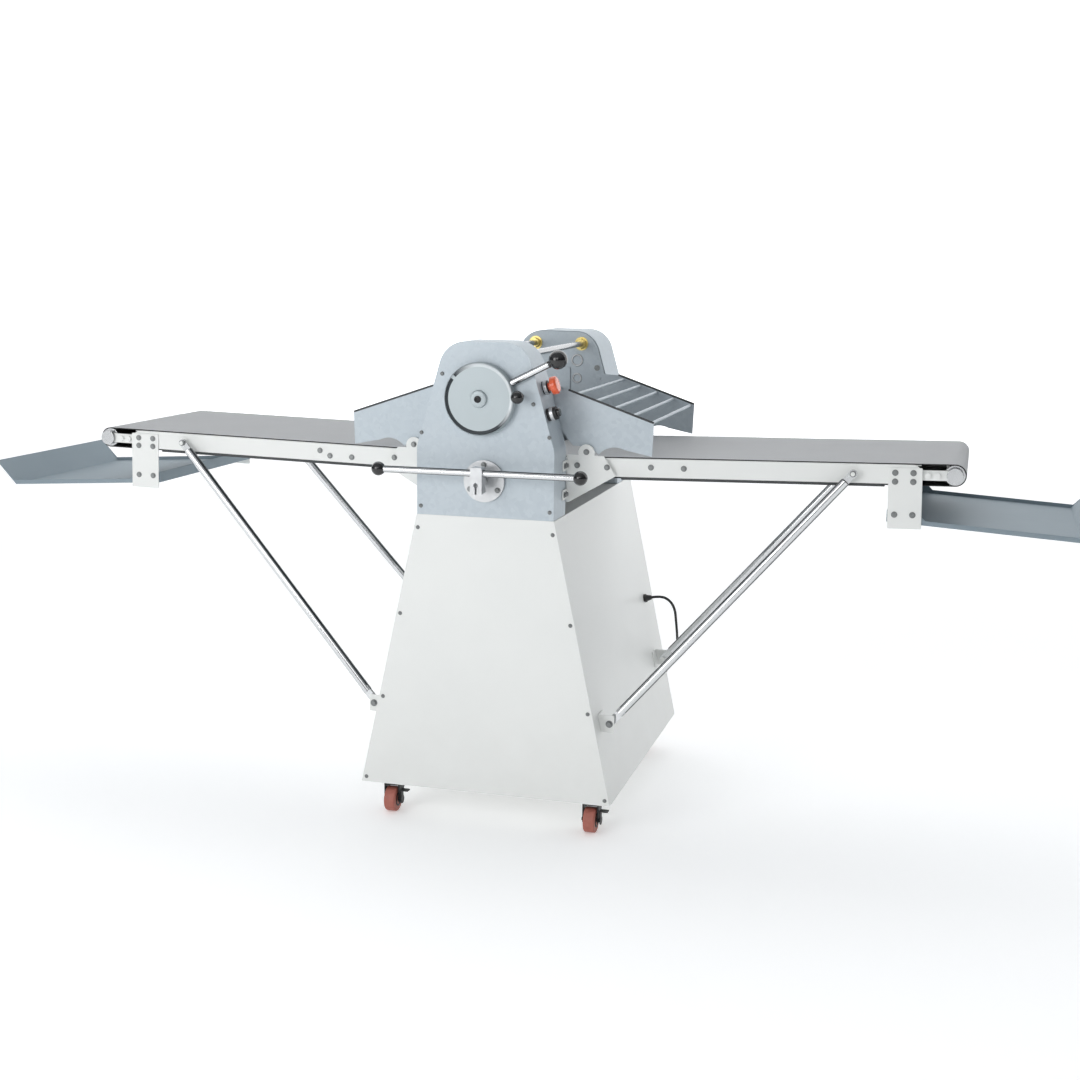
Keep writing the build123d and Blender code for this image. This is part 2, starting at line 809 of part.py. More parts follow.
coil_x = 165
coil_y = 560
coil_mean_r = 42
coil_half = 11.5
floor_z = cord_d / 2 + 0.2
cord_points = [
    tuple(gland_at.offset(gland_long).origin), tuple(gland_at.offset(gland_long + 28).origin),
    (326, 347, 465), (342, 351, 439), (345, 358, 399), (346, 378, 352), (338, 420, 308),
    (314, 462, 262), (290, 492, 205), (276, 508, 140), (270, 522, 80), (258, 548, 34),
    (236, 580, floor_z + 1), (205, 603, floor_z), (165, 609, floor_z),
]


def cord_radii(points):
    """Largest arc each corner has room for: 0.45 of the shorter run over tan(half the turn)."""
    found = []
    for a, b, c in zip(points, points[1:], points[2:]):
        first = Vector(*b) - Vector(*a)
        second = Vector(*c) - Vector(*b)
        turn = radians(first.get_angle(second))
        found.append(0.45 * min(first.length, second.length) / tan(turn / 2))
    return found


with BuildPart() as power_cord:
    with BuildLine() as route:
        FilletPolyline(*cord_points, radius=cord_radii(cord_points))
    with BuildSketch(Plane(origin=cord_points[0], z_dir=gland_at.z_dir)):
        Circle(cord_d / 2)
    sweep()
save(power_cord, "power_cord")

with BuildPart() as cord_coil:
    with BuildSketch(Plane.XY.offset(0.2)):
        with Locations((coil_x, coil_y)):
            Circle(coil_mean_r + coil_half)
            Circle(coil_mean_r - coil_half, mode=Mode.SUBTRACT)
    extrude(amount=2 * cord_d)
save(cord_coil, "cord_coil")

plug_x = coil_x - coil_mean_r
plug_y = 552
plug_wide = 38
plug_long = 52
plug_tall = 24
plug_z = 2 * cord_d + 0.2
plug_face = Plane(origin=(plug_x, plug_y - plug_long / 2, plug_z + plug_tall / 2), z_dir=(0, -1, 0))
with BuildPart() as mains_plug:
    with BuildSketch(Plane.XY.offset(plug_z)):
        with Locations((plug_x, plug_y)):
            RectangleRounded(plug_wide, plug_long, 8)
    extrude(amount=plug_tall)
    with BuildSketch(plug_face):
        with Locations((-9.5, 0), (9.5, 0)):
            Circle(2.4)
    extrude(amount=19)
save(mains_plug, "mains_plug")
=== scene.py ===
import json
import math

import bpy
from mathutils import Matrix, Vector

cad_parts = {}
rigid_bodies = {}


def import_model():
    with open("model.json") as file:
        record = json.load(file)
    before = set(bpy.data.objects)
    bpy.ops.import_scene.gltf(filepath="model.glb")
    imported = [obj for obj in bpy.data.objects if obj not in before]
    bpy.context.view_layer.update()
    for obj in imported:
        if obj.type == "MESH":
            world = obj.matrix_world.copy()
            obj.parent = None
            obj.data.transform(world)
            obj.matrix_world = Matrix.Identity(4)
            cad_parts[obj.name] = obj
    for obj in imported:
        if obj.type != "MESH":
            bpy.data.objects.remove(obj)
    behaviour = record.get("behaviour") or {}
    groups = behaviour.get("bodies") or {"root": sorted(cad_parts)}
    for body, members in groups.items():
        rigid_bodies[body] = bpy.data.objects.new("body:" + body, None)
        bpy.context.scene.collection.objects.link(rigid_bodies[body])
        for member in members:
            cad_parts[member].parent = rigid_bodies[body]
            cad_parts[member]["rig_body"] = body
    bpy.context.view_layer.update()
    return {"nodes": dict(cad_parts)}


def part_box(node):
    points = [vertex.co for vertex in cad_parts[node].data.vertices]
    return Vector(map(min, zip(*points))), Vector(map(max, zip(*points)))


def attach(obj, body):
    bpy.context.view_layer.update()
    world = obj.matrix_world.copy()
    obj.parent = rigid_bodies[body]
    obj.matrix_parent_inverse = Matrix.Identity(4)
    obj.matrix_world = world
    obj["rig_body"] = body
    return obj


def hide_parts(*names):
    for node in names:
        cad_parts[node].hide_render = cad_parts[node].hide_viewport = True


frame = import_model()
bpy.ops.object.select_all(action="DESELECT")

# Studio: a plain pale floor that runs out of view, a pale sky for the metal to reflect, two soft
# lamps in front and a weaker one overhead. The sky's reflection is darker low down and to the right,
# and the sky itself is plain white.
sky = bpy.data.worlds.new("studio_sky")
sky.use_nodes = True
sky_nodes = sky.node_tree.nodes
sky_link = sky.node_tree.links.new
sky_glow = sky_nodes["Background"]
sky_way = sky_nodes.new("ShaderNodeTexCoord")
sky_parts = sky_nodes.new("ShaderNodeSeparateXYZ")
sky_link(sky_way.outputs["Generated"], sky_parts.inputs[0])
sky_ramp = sky_nodes.new("ShaderNodeValToRGB")
low_sky, high_sky = sky_ramp.color_ramp.elements
low_sky.position = 0.10
low_sky.color = (0.05, 0.055, 0.06, 1)
high_sky.position = 0.55
high_sky.color = (0.94, 0.97, 1.0, 1)
sky_link(sky_parts.outputs["Z"], sky_ramp.inputs[0])
sky_link(sky_ramp.outputs["Color"], sky_glow.inputs["Color"])
sky_side = sky_nodes.new("ShaderNodeMapRange")
for socket, value in (("From Min", 0.15), ("From Max", 0.9), ("To Min", 0.52), ("To Max", 0.20)):
    sky_side.inputs[socket].default_value = value
sky_link(sky_parts.outputs["X"], sky_side.inputs["Value"])
sky_link(sky_side.outputs["Result"], sky_glow.inputs["Strength"])
white_walls = sky_nodes.new("ShaderNodeBackground")
white_walls.inputs["Color"].default_value = (0.97, 0.98, 1.0, 1)
seen_directly = sky_nodes.new("ShaderNodeLightPath")
sky_mix = sky_nodes.new("ShaderNodeMixShader")
sky_link(seen_directly.outputs["Is Camera Ray"], sky_mix.inputs[0])
sky_link(sky_glow.outputs[0], sky_mix.inputs[1])
sky_link(white_walls.outputs[0], sky_mix.inputs[2])
sky_link(sky_mix.outputs[0], sky_nodes["World Output"].inputs["Surface"])
bpy.context.scene.world = sky
bpy.context.scene.view_settings.view_transform = "Standard"
lit_point = Vector((0, 0, 0.8))
for lamp, place, size, power in (
    ("key_softbox", (-2.2, -4.6, 2.0), 2.4, 76),
    ("front_softbox", (0.35, -4.3, 2.5), 1.4, 15),
    ("top_softbox", (-0.4, 0.6, 3.6), 1.8, 7),
):
    bpy.ops.object.light_add(type="AREA", location=place)
    soft = bpy.context.object
    soft.name = lamp
    soft.data.size = size
    soft.data.energy = power
    soft.rotation_euler = (lit_point - soft.location).to_track_quat("-Z", "Y").to_euler()
stage_size = 60
bpy.ops.mesh.primitive_plane_add(size=stage_size, location=(0, 0, 0))
floor = bpy.context.object
floor.name = "studio_floor"
bpy.ops.mesh.primitive_plane_add(size=stage_size, location=(0, 9, 10), rotation=(math.pi / 2, 0, 0))
backdrop = bpy.context.object
backdrop.name = "studio_backdrop"

# Camera: a little above eye level for the tables, in front and to the right, turned left towards the
# head and rolled by under a degree.
eye = Vector((1.1548, -4.0504, 1.4314))
turn_left = 0.27078
look_down = 0.17629
roll = 0.0117
ahead = Vector((
    -math.sin(turn_left) * math.cos(look_down),
    math.cos(turn_left) * math.cos(look_down),
    -math.sin(look_down),
))
right = Vector((math.cos(turn_left), math.sin(turn_left), 0))
above = right.cross(ahead)
side = right * math.cos(roll) + above * math.sin(roll)
top = above * math.cos(roll) - right * math.sin(roll)
bpy.ops.object.camera_add()
camera = bpy.context.object
camera.data.lens = 52.42
camera.data.sensor_width = 36
camera.matrix_world = Matrix((
    (side.x, top.x, -ahead.x, eye.x),
    (side.y, top.y, -ahead.y, eye.y),
    (side.z, top.z, -ahead.z, eye.z),
    (0, 0, 0, 1),
))
bpy.context.scene.camera = camera


# Floor finish: matt off-white. The class below wraps a node socket, so that shader maths in every
# later section reads as plain arithmetic.
class Tone:
    """One output socket of a material; arithmetic on it adds Math nodes."""

    def __init__(self, tree, socket):
        self.tree = tree
        self.socket = socket

    def node(self, kind, settings=None, sockets=None, out=0):
        """A node of any kind: first its settings, then the values or links of its sockets."""
        made = self.tree.nodes.new(kind)
        for key, value in (settings or {}).items():
            setattr(made, key, value)
        for key, value in (sockets or {}).items():
            self.feed(made.inputs[key], value)
        return Tone(self.tree, made.outputs[out])

    def feed(self, socket, value):
        if isinstance(value, Tone):
            self.tree.links.new(value.socket, socket)
        elif socket.type == "RGBA":
            socket.default_value = (*value, 1)
        else:
            socket.default_value = value

    def maths(self, operation, first, second=0.0):
        return self.node("ShaderNodeMath", {"operation": operation}, {0: first, 1: second})

    def __add__(self, other):
        return self.maths("ADD", self, other)

    def __sub__(self, other):
        return self.maths("SUBTRACT", self, other)

    def __rsub__(self, other):
        return self.maths("SUBTRACT", other, self)

    def __mul__(self, other):
        return self.maths("MULTIPLY", self, other)

    def __pow__(self, other):
        return self.maths("POWER", self, other)

    def above(self, limit):
        return self.maths("GREATER_THAN", self, limit)

    def below(self, limit):
        return self.maths("LESS_THAN", self, limit)

    def size(self):
        return self.maths("ABSOLUTE", self)

    __radd__ = __add__
    __rmul__ = __mul__

    def axis(self, letter):
        return self.node("ShaderNodeSeparateXYZ", sockets={0: self}, out="XYZ".index(letter))

    def stretched(self, x, y, z):
        return self.node("ShaderNodeMapping", sockets={"Vector": self, "Scale": (x, y, z)})

    def clamped(self):
        return self.node("ShaderNodeClamp", sockets={"Value": self})

    def noise(self, scale, detail=3.0, rough=0.55):
        sockets = {"Vector": self, "Scale": scale, "Detail": detail, "Roughness": rough}
        return self.node("ShaderNodeTexNoise", sockets=sockets)

    def cells(self, scale):
        return self.node("ShaderNodeTexVoronoi", sockets={"Vector": self, "Scale": scale}, out="Color")

    def fade(self, *stops):
        made = self.node("ShaderNodeValToRGB", sockets={0: self})
        ramp = made.socket.node.color_ramp
        while len(ramp.elements) < len(stops):
            ramp.elements.new(0.5)
        for element, (place, colour) in zip(ramp.elements, stops):
            element.position = place
            element.color = (*colour, 1)
        return made

    def blend(self, colour_a, colour_b):
        sockets = {0: self, 6: colour_a, 7: colour_b}
        return self.node("ShaderNodeMix", {"data_type": "RGBA"}, sockets, out=2)


def new_finish(name):
    """An empty material, with its object coordinates and its shader."""
    made = bpy.data.materials.new(name)
    made.use_nodes = True
    tree = made.node_tree
    place = Tone(tree, tree.nodes.new("ShaderNodeTexCoord").outputs["Object"])
    return made, place, tree.nodes["Principled BSDF"]


def set_finish(place, shader, colour, rough, metal=0.0, bump=None, height=0.0002, coat=0.0):
    place.feed(shader.inputs["Base Color"], colour)
    place.feed(shader.inputs["Roughness"], rough)
    place.feed(shader.inputs["Metallic"], metal)
    shader.inputs["Coat Weight"].default_value = coat
    if bump is not None:
        bumped = place.node("ShaderNodeBump", sockets={"Height": bump, "Distance": height})
        place.feed(shader.inputs["Normal"], bumped)


for surface, name, grain, rough, glow in (
    (floor, "pale_floor", 0.6, 0.75, 0.24),
    (backdrop, "lit_backdrop_paper", 0.4, 0.8, 0.86),
):
    stage_finish, at, shader = new_finish(name)
    set_finish(at, shader, at.noise(grain).blend((0.93, 0.935, 0.94), (0.95, 0.955, 0.96)), rough)
    shader.inputs["Emission Color"].default_value = (1, 1, 1, 1)
    shader.inputs["Emission Strength"].default_value = glow
    surface.data.materials.append(stage_finish)

# White powder coat on the base, rails and brackets: a hard, faintly pebbled paint over steel, with a
# little grey dust towards the floor.
powder_white, at, shader = new_finish("white_powder_coat")
clouds = at.noise(3.0)
dust = (1 - at.axis("Z") * 2.2).clamped()
grime = dust * at.noise(14, 5) * 0.35
tint = clouds.blend((0.80, 0.815, 0.80), (0.87, 0.88, 0.86))
set_finish(at, shader, grime.blend(tint, (0.60, 0.60, 0.57)), clouds * 0.15 + 0.33,
           bump=at.noise(420, 2) * 0.5 + at.noise(9, 2) * 0.5, height=0.0004, coat=0.08)


# Every sheet-metal part of the base, head and tables has its edges broken when it is cut and folded.
# softened() takes the part's own shape, joins it into clean faces and rounds the edges.
same_point = 0.00001
same_face = math.radians(1)
curved_up_to = math.radians(42)


def pick(*pieces):
    """Select these pieces alone, the first of them active."""
    bpy.ops.object.select_all(action="DESELECT")
    for piece in pieces:
        piece.select_set(True)
    bpy.context.view_layer.objects.active = pieces[0]


def softened(node, name, finish, width=0.001, steps=2, angle=30):
    """A copy of a CAD part with rounded edges, riding on the part's body, with the part itself hidden."""
    source = frame["nodes"][node]
    piece = bpy.data.objects.new(name, source.data.copy())
    bpy.context.scene.collection.objects.link(piece)
    pick(piece)
    bpy.ops.object.mode_set(mode="EDIT")
    bpy.ops.mesh.select_all(action="SELECT")
    bpy.ops.mesh.remove_doubles(threshold=same_point)
    bpy.ops.mesh.dissolve_limited(angle_limit=same_face)
    bpy.ops.object.mode_set(mode="OBJECT")
    rounding = piece.modifiers.new("rounding", "BEVEL")
    rounding.width = width
    rounding.segments = steps
    rounding.limit_method = "ANGLE"
    rounding.angle_limit = math.radians(angle)
    bpy.ops.object.modifier_apply(modifier=rounding.name)
    bpy.ops.object.shade_smooth_by_angle(angle=curved_up_to)
    flattening = piece.modifiers.new("flattening", "WEIGHTED_NORMAL")
    flattening.weight = 100
    flattening.keep_sharp = True
    bpy.ops.object.modifier_apply(modifier=flattening.name)
    piece.data.materials.clear()
    piece.data.materials.append(finish)
    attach(piece, source["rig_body"])
    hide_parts(node)
    return piece


for node, name in (
    ("base_body", "base_shell"), ("base_front_panel", "front_access_panel"),
    ("base_rear_panel", "rear_access_panel"), ("wing_plates", "hinge_wing_plates"),
    ("strut_brackets", "strut_foot_brackets"), ("left_table_frame", "left_table_rails"),
    ("right_table_frame", "right_table_rails"),
    ("left_tray_brackets", "left_hanging_plates"), ("right_tray_brackets", "right_hanging_plates"),
):
    softened(node, name, powder_white)

# Galvanised sheet of the head and guards: zinc-coated steel, pale blue-grey, with the soft mottle of
# its crystals and a low sheen.
zinc, at, shader = new_finish("galvanised_sheet")
crystals = at.cells(95)
mottle = crystals.axis("X")
drift = at.noise(5, 3)
tint = mottle.blend((0.43, 0.49, 0.535), (0.50, 0.56, 0.60))
set_finish(at, shader, (drift * 0.5).blend(tint, (0.58, 0.63, 0.67)), mottle * 0.12 + 0.42, metal=0.30,
           bump=mottle * 0.5 + at.noise(160, 2) * 0.5, height=0.00015)
softened("front_housing", "front_head_cover", zinc, width=0.003, steps=4, angle=40)
softened("rear_housing", "rear_head_cover", zinc, width=0.003, steps=4, angle=40)
softened("side_plates", "head_side_plates", zinc)
softened("roller_carriage", "sliding_roller_carriage", zinc)
for hand in ("left", "right"):
    softened(f"{hand}_guard", f"{hand}_roller_guard", zinc, width=0.0006)

# Catch trays: thin sheet folded up on four sides, hung low at the outer end of each table to take
# rolling pins and dough. Their zinc is darker and bluer than the head's.
tray_zinc, at, shader = new_finish("blue_grey_tray_sheet")
grain = at.stretched(0.35, 3, 1).noise(70, 4)
drift = at.noise(4)
tint = drift.blend((0.20, 0.26, 0.30), (0.26, 0.32, 0.36))
set_finish(at, shader, (grain * 0.3).blend(tint, (0.33, 0.38, 0.42)), grain * 0.2 + 0.48, metal=0.2,
           bump=grain, height=0.0001)
for hand in ("left", "right"):
    softened(f"{hand}_catch_tray", f"{hand}_folded_catch_tray", tray_zinc, width=0.0007)

# Painted shade: a near-black strip along each guard's sloping top edge stands in for the shadow there.
# Each guard's two strips are one piece, made and set down as every new piece here is.
def rounded(piece, width, steps=1):
    """Round the sharp edges of a piece that has just been added."""
    bpy.context.view_layer.objects.active = piece
    rounding = piece.modifiers.new("rounding", "BEVEL")
    rounding.width = width
    rounding.segments = steps
    bpy.ops.object.modifier_apply(modifier=rounding.name)
    return piece


def joined(pieces):
    """Several shapes made one."""
    pick(*pieces)
    bpy.ops.object.join()
    return pieces[0]


def settled(piece, name, finish, body):
    """Apply a new piece's place to its mesh, and give it its name, finish and body."""
    pick(piece)
    bpy.ops.object.transform_apply(location=True, rotation=True, scale=True)
    bpy.ops.object.shade_smooth_by_angle(angle=math.radians(35))
    piece.name = name
    piece.data.name = name
    piece.data.materials.clear()
    piece.data.materials.append(finish)
    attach(piece, body)
    return piece


def bar(place, turn, lengths, width, steps):
    """A straight bar with rounded edges, at its place."""
    bpy.ops.mesh.primitive_cube_add(size=1, location=place, rotation=(0, turn, 0), scale=lengths)
    bpy.ops.object.transform_apply(location=True, rotation=True, scale=True)
    return rounded(bpy.context.object, width, steps)


# Painted shade: this near-black finish is for strips laid where there is only shadow.
painted_shade_black, at, shader = new_finish("black_painted_shade")
bloom = at.noise(60, 4)
set_finish(at, shader, bloom.blend((0.035, 0.038, 0.04), (0.07, 0.075, 0.078)), bloom * 0.2 + 0.5,
           bump=bloom, height=0.0001)
guard_top = Vector((0.176, 0, 1.115))
guard_tip = Vector((0.394, 0, 1.040))
guard_y = 0.279
guard_strip_fall = math.atan((guard_top.z - guard_tip.z) / (guard_tip.x - guard_top.x))
for hand, name in ((-1, "left"), (1, "right")):
    guard_strips = []
    for y in (-guard_y, guard_y):
        middle = (hand * 0.285, y, 1.0785)
        guard_strips.append(bar(middle, hand * guard_strip_fall, (0.2300, 0.0048, 0.0052), 0.0018, 3))
    settled(joined(guard_strips), f"{name}_guard_edge_shade", painted_shade_black, f"{name}_guard")

# Bright steel: the rollers, struts, tie rods and handle rods are drawn or turned and chromed. Painted
# reflection: dark streaks along each side of a paler middle, set by which way each surface faces.
bright_steel, at, shader = new_finish("polished_steel")
lines = at.noise(260, 2)
smear = at.noise(7, 4)
facing = at.node("ShaderNodeTexCoord", out=1).axis("Y").size()
white = (1, 1, 1)
# Painted reflection: dark and pale bands set by which way the surface faces.
painted_reflection = (facing + smear * 0.08).fade((0.10, (0.5, 0.5, 0.5)), (0.22, white), (0.62, white), (0.80, (0, 0, 0)))
bright = smear.blend((0.62, 0.63, 0.64), (0.76, 0.77, 0.78))
set_finish(at, shader, painted_reflection.blend(bright, (0.045, 0.05, 0.055)), smear * 0.14 + 0.10, metal=0.9,
           bump=lines, height=0.000004)
brushed_steel, at, shader = new_finish("brushed_steel")
grain = at.stretched(1, 14, 1).noise(60, 4)
set_finish(at, shader, grain.blend((0.50, 0.51, 0.52), (0.66, 0.67, 0.68)), grain * 0.22 + 0.24, metal=0.9,
           bump=grain, height=0.00008)
for node, name in (
    ("left_struts", "left_strut_pair"), ("right_struts", "right_strut_pair"),
    ("tie_rods", "head_tie_rods"), ("gap_handle_rod", "gap_handle_stem"), ("lever_rod", "direction_lever_rod"),
    ("upper_roller", "upper_dough_roller"), ("lower_roller", "lower_dough_roller"),
    ("left_drive_roller", "left_drive_drum"), ("right_drive_roller", "right_drive_drum"),
    ("left_idler_roller", "left_idler_drum"), ("right_idler_roller", "right_idler_drum"),
):
    softened(node, name, bright_steel, width=0.0008, angle=50)
for node, name in (
    ("upper_scraper", "upper_scraper_blade"),
    ("lower_scraper", "lower_scraper_blade"), ("roller_bearings", "lower_roller_bearings"),
    ("lever_flange", "lever_bearing_flange"), ("lever_clamp", "lever_clamp_block"),
):
    softened(node, name, brushed_steel, width=0.0006, angle=50)

# Belts: two-ply woven cloth with a smooth pale food-safe face, run as an endless loop round each table.
# Its cut edges and the inside of its loop are painted near black: painted shade.
woven_belt, at, shader = new_finish("woven_belt")
thread_pitch = 5500
warp = at.maths("SINE", at.axis("Y") * thread_pitch)
weft = at.maths("SINE", at.axis("X") * thread_pitch)
flour = at.noise(6, 5)
face = flour.blend((0.445, 0.455, 0.465), (0.515, 0.525, 0.535))
table_rise = math.atan(0.0228)
hinge = Vector((0.080, 0, 0.920))
run = at.axis("X").size()
above_hinge = (at.axis("Z") - hinge.z) * math.cos(table_rise) - (run - hinge.x) * math.sin(table_rise)
# Painted shade: the inside of the loop and the cut edges are made near black.
inner_loop_side = above_hinge.size().below(0.0248) * run.above(0.090) * run.below(1.100)
edge = at.axis("Y").size().above(0.2575)
belt_painted_shade = edge.maths("MAXIMUM", edge, inner_loop_side)
set_finish(at, shader, belt_painted_shade.blend(face, (0.022, 0.022, 0.023)), flour * 0.15 + 0.66,
           bump=warp * weft + at.noise(40, 2), height=0.00012)


def finished(node, finish):
    """A CAD part whose shape is right keeps it, and only takes its finish."""
    frame["nodes"][node].data.materials.clear()
    frame["nodes"][node].data.materials.append(finish)


for hand in ("left", "right"):
    finished(f"{hand}_belt", woven_belt)


# Gap dial: a turned steel disc with a fine circular grain and a domed hub with its screw. A ring near
# its edge is painted shade towards the lower left and painted highlight towards the upper right, with a short
# break at the upper left.
turned_face, at, shader = new_finish("turned_dial_face")
dial_low, dial_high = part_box("gap_dial")
dial_x = (dial_low.x + dial_high.x) / 2
dial_z = (dial_low.z + dial_high.z) / 2
dial_r = (dial_high.x - dial_low.x) / 2
from_hub = at.node("ShaderNodeVectorMath", {"operation": "SUBTRACT"}, {0: at, 1: (dial_x, 0, dial_z)})
flat_x = from_hub.axis("X")
flat_z = from_hub.axis("Z")
reach = (flat_x * flat_x + flat_z * flat_z) ** 0.5
rings = reach.node("ShaderNodeCombineXYZ", sockets={"X": reach}).noise(900, 4, 0.7)
rim_wide = 0.0110
rim_edge = 0.0022
rim = reach.above(dial_r - rim_wide) * reach.below(dial_r - rim_edge)
face = rings.blend((0.40, 0.455, 0.475), (0.50, 0.555, 0.575))
angle = flat_z.maths("ARCTAN2", flat_z, flat_x)
rim_break_from = 2.42
rim_break_to = 2.53
rim_break = angle.above(rim_break_from) * angle.below(rim_break_to)
# Painted light: the rim ring is dark towards the lower left and pale towards the upper right.
lit_side = (flat_x + flat_z * 0.9) * 14 + 0.15
rim_shade_and_highlight = lit_side.clamped().blend((0.020, 0.027, 0.033), (0.60, 0.64, 0.66))
set_finish(at, shader, (rim * (1 - rim_break)).blend(face, rim_shade_and_highlight), rings * 0.2 + 0.34, metal=0.35,
           bump=rings, height=0.00006)
softened("gap_dial", "turned_gap_dial", turned_face, width=0.0005, angle=60)


# Black balls on the gap handle, its stop and the direction lever: moulded phenolic, glossy, each with
# a short turned collar where it meets its stem.
ball_black, at, shader = new_finish("glossy_black_phenolic")
swirl = at.noise(60, 3)
set_finish(at, shader, swirl.blend((0.008, 0.008, 0.009), (0.016, 0.016, 0.017)), swirl * 0.1 + 0.12, coat=0.4,
           bump=at.noise(25, 2), height=0.00008)


def faced(piece, place, way):
    """Put a piece at its place, its own Z axis turned along the way given."""
    piece.rotation_mode = "QUATERNION"
    piece.rotation_quaternion = Vector(way).to_track_quat("Z", "Y")
    piece.location = place


def edit_faces(piece, wanted):
    """Open a piece in edit mode with only its wanted faces selected."""
    bpy.ops.object.mode_set(mode="EDIT")
    bpy.ops.mesh.select_mode(type="FACE")
    bpy.ops.mesh.select_all(action="DESELECT")
    bpy.ops.object.mode_set(mode="OBJECT")
    for face in piece.data.polygons:
        face.select = wanted(face)
    bpy.ops.object.mode_set(mode="EDIT")


def ball(place, radius, toward):
    """A ball knob with a collar on the side its stem comes from."""
    cap_from = -0.93 * radius
    collar_tall = 0.18 * radius
    bpy.ops.mesh.primitive_uv_sphere_add(segments=40, ring_count=24, radius=radius)
    knob = bpy.context.object
    edit_faces(knob, lambda face: face.center.z < cap_from)
    bpy.ops.mesh.extrude_region_move(TRANSFORM_OT_translate={"value": (0, 0, -collar_tall)})
    bpy.ops.transform.resize(value=(1, 1, 0))
    bpy.ops.object.mode_set(mode="OBJECT")
    faced(knob, place, toward)
    return knob


handle_low, handle_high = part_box("gap_handle_knob")
handle_turn = math.radians(27)
handle_reach = 0.219
handle_ball_r = 0.0229
handle_way = Vector((math.cos(handle_turn), 0, math.sin(handle_turn)))
handle_foot = Vector((dial_x, (handle_low.y + handle_high.y) / 2, dial_z))
knob = ball(handle_foot + handle_way * handle_reach, handle_ball_r, handle_way)
settled(knob, "gap_handle_ball", ball_black, "gap_dial")
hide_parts("gap_handle_knob")
lever_low, lever_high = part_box("lever_knobs")
lever_r = (lever_high.z - lever_low.z) / 2
lever_mid = (lever_low + lever_high) / 2
lever_balls = joined([
    ball((lever_low.x + lever_r, lever_mid.y, lever_mid.z), lever_r, (-1, 0, 0)),
    ball((lever_high.x - lever_r, lever_mid.y, lever_mid.z), lever_r, (1, 0, 0)),
])
settled(lever_balls, "direction_lever_balls", ball_black, "direction_lever")
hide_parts("lever_knobs")
finished("gap_stop_knob", ball_black)

# The dial is held by a socket-head screw, black inside, set a little off the middle of its hub.
flat_back = (math.pi / 2, 0, 0)
bpy.ops.mesh.primitive_cylinder_add(vertices=36, radius=0.0085, depth=0.004,
                                    location=(dial_x, dial_low.y - 0.001, dial_z), rotation=flat_back)
hub_screw = bpy.context.object
bpy.ops.object.transform_apply(rotation=True)
rounded(hub_screw, 0.0007, 2)
bpy.ops.mesh.primitive_cylinder_add(vertices=6, radius=0.0055, depth=0.006,
                                    location=(dial_x, dial_low.y - 0.004, dial_z), rotation=flat_back)
socket_hole = bpy.context.object


def cut_out(piece, cutter):
    """Take the cutter's shape out of a piece, and remove the cutter."""
    cutting = piece.modifiers.new("cutting", "BOOLEAN")
    cutting.operation = "DIFFERENCE"
    cutting.object = cutter
    bpy.context.view_layer.objects.active = piece
    bpy.ops.object.modifier_apply(modifier=cutting.name)
    bpy.data.objects.remove(cutter)


cut_out(hub_screw, socket_hole)
black_steel, at, shader = new_finish("blackened_steel")
oil = at.noise(200, 3)
set_finish(at, shader, oil.blend((0.010, 0.010, 0.011), (0.04, 0.04, 0.042)), oil * 0.2 + 0.28, metal=0.6,
           bump=oil, height=0.00005)
settled(hub_screw, "dial_hub_screw", black_steel, "gap_dial")

# Stop and start switches on the head's right flank: a red mushroom and a black plunger, each in a
# black collar with a bright ring nut against the sheet.
shiny_red, at, shader = new_finish("orange_red_moulding")
mould = at.noise(30, 2)
set_finish(at, shader, mould.blend((0.78, 0.105, 0.035), (0.88, 0.16, 0.06)), mould * 0.1 + 0.22, coat=0.3,
           bump=at.noise(400, 2), height=0.00005)
softened("estop_button", "stop_mushroom", shiny_red, width=0.0008, steps=3, angle=50)
softened("start_button", "start_plunger", ball_black, width=0.0008, steps=3, angle=50)
satin_black, at, shader = new_finish("satin_black_zinc")
speck = at.noise(180, 3)
set_finish(at, shader, speck.blend((0.012, 0.012, 0.013), (0.03, 0.03, 0.032)), speck * 0.2 + 0.34, metal=0.3,
           bump=speck, height=0.00008)
softened("switch_collars", "switch_bodies", satin_black, width=0.0006, angle=50)
flank_foot = Vector((0.176, 0, 0.975))
flank_head = Vector((0.102, 0, 1.235))
flank_lean = math.atan((flank_foot.x - flank_head.x) / (flank_head.z - flank_foot.z))
flank_way = Vector((math.cos(flank_lean), 0, math.sin(flank_lean)))
switch_rings = []
for y, z, out in ((-0.355, 1.124, 0.0075), (-0.377, 1.061, 0.0125)):
    foot = Vector((flank_foot.x - (z - flank_foot.z) * math.tan(flank_lean), y, z))
    bpy.ops.mesh.primitive_cylinder_add(vertices=48, radius=0.0166, depth=0.0085, end_fill_type="NOTHING")
    ring = bpy.context.object
    faced(ring, foot + flank_way * out, flank_way)
    wall = ring.modifiers.new("wall", "SOLIDIFY")
    wall.thickness = 0.0010
    wall.offset = 1
    bpy.ops.object.modifier_apply(modifier=wall.name)
    switch_rings.append(rounded(ring, 0.0004))
settled(joined(switch_rings), "switch_ring_nuts", brushed_steel, "base")

